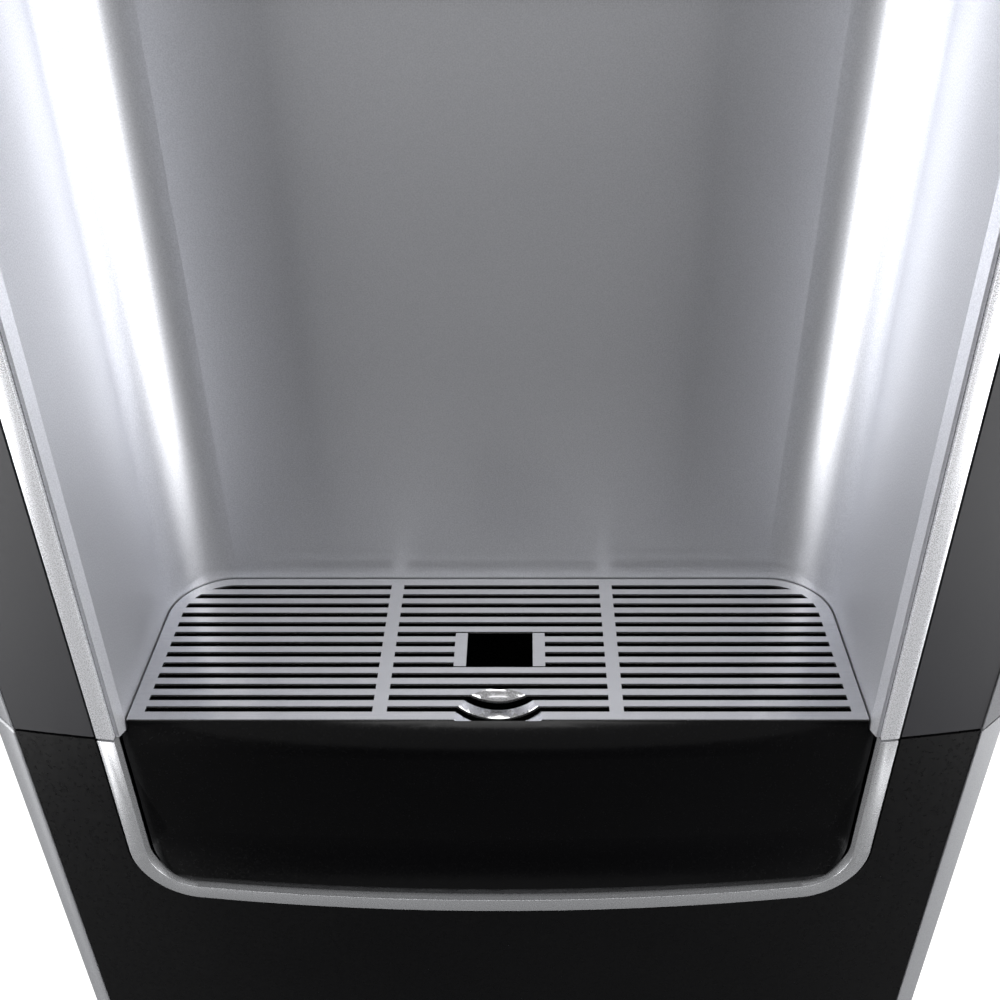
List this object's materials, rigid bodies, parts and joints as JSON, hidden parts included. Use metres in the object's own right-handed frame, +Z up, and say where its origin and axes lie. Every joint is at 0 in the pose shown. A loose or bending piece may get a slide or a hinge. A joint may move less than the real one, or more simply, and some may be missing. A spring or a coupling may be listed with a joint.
{
  "type": "bottom load water cooler",
  "caption": "Tall floor-standing water cooler with a bottle bay behind the lower door, a lit dispensing alcove, slotted drip tray and push buttons.",
  "frame": {"origin": "on the floor under the middle of the case's overall box", "axes": "+Z up, the front faces -Y, +X is to the right seen from the front"},
  "size_m": [0.31, 0.36, 1.04],
  "materials": {
    "black_gloss": "smooth black moulding",
    "black_paint": "gloss enamel",
    "black_rubber": "moulded",
    "black_satin": "satin black moulding",
    "blue_plastic": "smooth",
    "clear_lens": "frosted",
    "copper": "drawn copper tube",
    "dark_plastic": "fine grain",
    "foam": "closed-cell foam",
    "green_board": "lacquered board",
    "grey_plastic": "smooth",
    "red_plastic": "smooth",
    "sheet_black": "powder coated",
    "silicone": "clear silicone tube",
    "silver_paint": "satin silver with a fine metallic fleck",
    "silver_plastic": "silver moulding with a fine metallic fleck",
    "stainless": "brushed",
    "white_plastic": "natural",
    "zinc": "zinc plated"
  },
  "bodies": {
    "case": {"base_pan": "dark_plastic", "feet": "black_rubber", "bottle_platform": "dark_plastic", "left_side_panel": "sheet_black", "right_side_panel": "sheet_black", "rear_panel": "sheet_black", "machine_deck": "zinc", "top_cover": "dark_plastic", "upper_front_panel": "black_gloss", "alcove_liner": "silver_plastic", "upper_trim": "silver_paint", "upper_strip_left": "silver_paint", "upper_strip_right": "silver_paint", "lower_hinge": "zinc", "upper_hinge_pin": "zinc", "control_fascia": "black_gloss", "indicator_lenses": "clear_lens", "control_board": "green_board", "spout_housing": "dark_plastic", "spouts": "silicone", "night_light_lens": "clear_lens", "hot_tank": "stainless", "heater_band": "zinc", "thermostats": "black_satin", "cold_tank": "stainless", "tank_insulation": "foam", "evaporator_coil": "copper", "tank_bracket": "zinc", "compressor": "black_paint", "compressor_mounts": "black_rubber", "condenser": "black_paint", "filter_drier": "copper", "refrigerant_lines": "copper", "pump": "dark_plastic", "suction_hose": "silicone", "water_tubes": "silicone", "probe_holder": "white_plastic", "drain_spigot": "dark_plastic", "switch_plate": "dark_plastic", "power_inlet": "dark_plastic", "panel_screws": "zinc"},
    "door": {"door_panel": "black_gloss", "door_inner": "dark_plastic", "door_trim": "silver_paint", "door_strip_left": "silver_paint", "door_strip_right": "silver_paint", "door_bushes": "white_plastic", "door_magnet": "black_rubber"},
    "tray": {"drip_tray": "black_satin"},
    "grate": {"drip_grate": "stainless"},
    "button_hot_body": {"button_hot": "red_plastic"},
    "button_room_body": {"button_room": "grey_plastic"},
    "button_cold_body": {"button_cold": "blue_plastic"},
    "child_lock_body": {"child_lock": "red_plastic"},
    "switch_hot_body": {"switch_hot": "red_plastic"},
    "switch_cold_body": {"switch_cold": "blue_plastic"},
    "switch_light_body": {"switch_light": "grey_plastic"},
    "probe": {"probe_tube": "stainless", "probe_collar": "dark_plastic"},
    "drain_cap_body": {"drain_cap": "dark_plastic"}
  },
  "joints": [
    {"name": "door_hinge", "type": "hinge", "parent": "case", "child": "door", "pos_m": [0.15, -0.1565, 0.043], "axis": [0, 0, 1], "range_deg": [0, 110]},
    {"name": "tray_slide", "type": "slide", "parent": "case", "child": "tray", "axis": [0, -1, 0], "range_m": [0, 0.09]},
    {"name": "grate_lift", "type": "slide", "parent": "tray", "child": "grate", "axis": [0, 0, 1], "range_m": [0, 0.03]},
    {"name": "button_hot_press", "type": "slide", "parent": "case", "child": "button_hot_body", "axis": [0, 1, 0], "range_m": [0, 0.0025], "stiffness_N_per_m": 400, "springref_m": -0.0015},
    {"name": "button_room_press", "type": "slide", "parent": "case", "child": "button_room_body", "axis": [0, 1, 0], "range_m": [0, 0.0025], "stiffness_N_per_m": 400, "springref_m": -0.0015},
    {"name": "button_cold_press", "type": "slide", "parent": "case", "child": "button_cold_body", "axis": [0, 1, 0], "range_m": [0, 0.0025], "stiffness_N_per_m": 400, "springref_m": -0.0015},
    {"name": "child_lock_slide", "type": "slide", "parent": "case", "child": "child_lock_body", "axis": [1, 0, 0], "range_m": [0, 0.006]},
    {"name": "switch_hot_rock", "type": "hinge", "parent": "case", "child": "switch_hot_body", "pos_m": [-0.026, 0.164, 0.988], "axis": [-1, 0, 0], "range_deg": [0, 20]},
    {"name": "switch_cold_rock", "type": "hinge", "parent": "case", "child": "switch_cold_body", "pos_m": [0, 0.164, 0.988], "axis": [-1, 0, 0], "range_deg": [0, 20]},
    {"name": "switch_light_rock", "type": "hinge", "parent": "case", "child": "switch_light_body", "pos_m": [0.026, 0.164, 0.988], "axis": [-1, 0, 0], "range_deg": [0, 20]},
    {"name": "probe_lift", "type": "slide", "parent": "case", "child": "probe", "axis": [0, 0, 1], "range_m": [0, 0.012], "deforming": ["suction_hose"]},
    {"name": "drain_cap_pull", "type": "slide", "parent": "case", "child": "drain_cap_body", "axis": [0, 1, 0], "range_m": [0, 0.015]}
  ]
}
